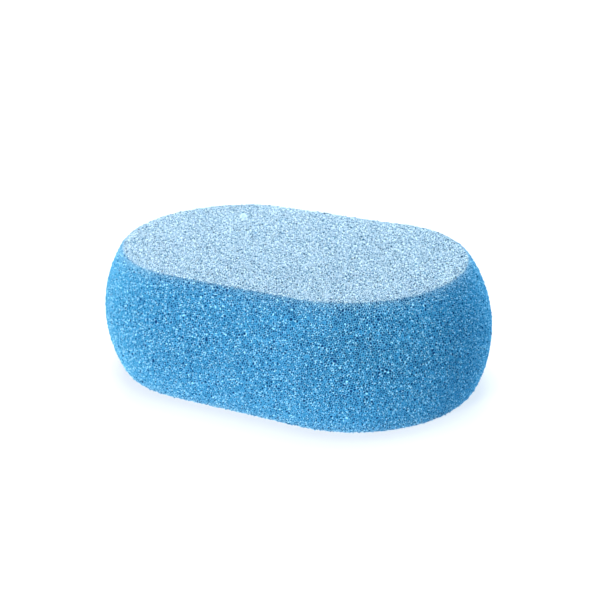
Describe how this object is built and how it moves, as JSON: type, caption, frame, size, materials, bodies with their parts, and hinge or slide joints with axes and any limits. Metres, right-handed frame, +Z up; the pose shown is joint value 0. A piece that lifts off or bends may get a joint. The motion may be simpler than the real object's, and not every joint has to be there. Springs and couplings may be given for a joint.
{
  "type": "foam sponge",
  "caption": "Oval block of open-cell foam with two flat cut faces and bulging sides, held in one hand to wipe, wash or clean grout from tiles.",
  "frame": {"origin": "centre of the flat underside that the sponge rests on", "axes": "+X along the length, +Y across the width, +Z up through the thickness to the top cut face"},
  "size_m": [0.15, 0.098, 0.047],
  "materials": {
    "blue_foam": "matte"
  },
  "bodies": {
    "root": {"foam_sponge": "blue_foam"}
  },
  "joints": []
}
